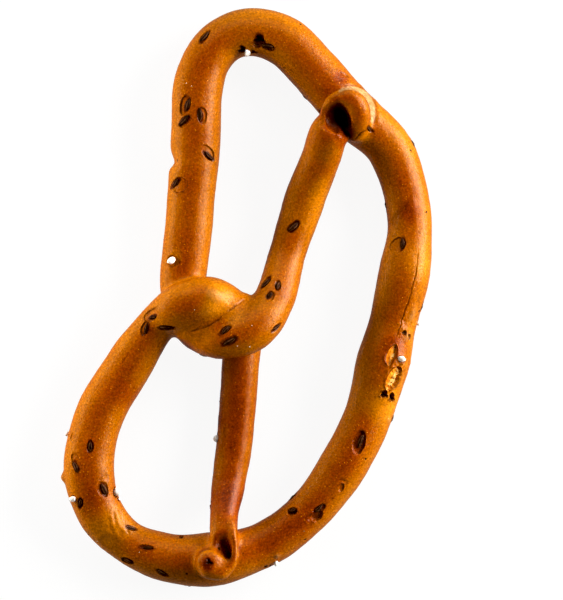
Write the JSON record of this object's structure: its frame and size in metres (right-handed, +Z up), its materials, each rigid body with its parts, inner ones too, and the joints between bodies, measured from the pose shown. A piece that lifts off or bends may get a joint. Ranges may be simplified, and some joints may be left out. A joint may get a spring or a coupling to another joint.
{
  "type": "pretzel",
  "caption": "Crisp baked pretzel twisted from one dough strand, ends pressed onto the loop, dotted with caraway seeds and coarse salt.",
  "frame": {"origin": "middle of the pretzel's box on the tray plane that it lies on", "axes": "+Y along the pretzel towards the narrow upper loop, +X to the right seen from above, +Z up out of the tray"},
  "size_m": [0.0636, 0.0998, 0.012],
  "materials": {
    "crust": "satin glazed brown crust, mottled, dark at the ends and paler in the sheltered folds",
    "caraway": "matt dark brown ribbed seed",
    "salt": "white, slightly see-through crystal"
  },
  "bodies": {
    "root": {"pretzel": "crust"}
  },
  "joints": []
}
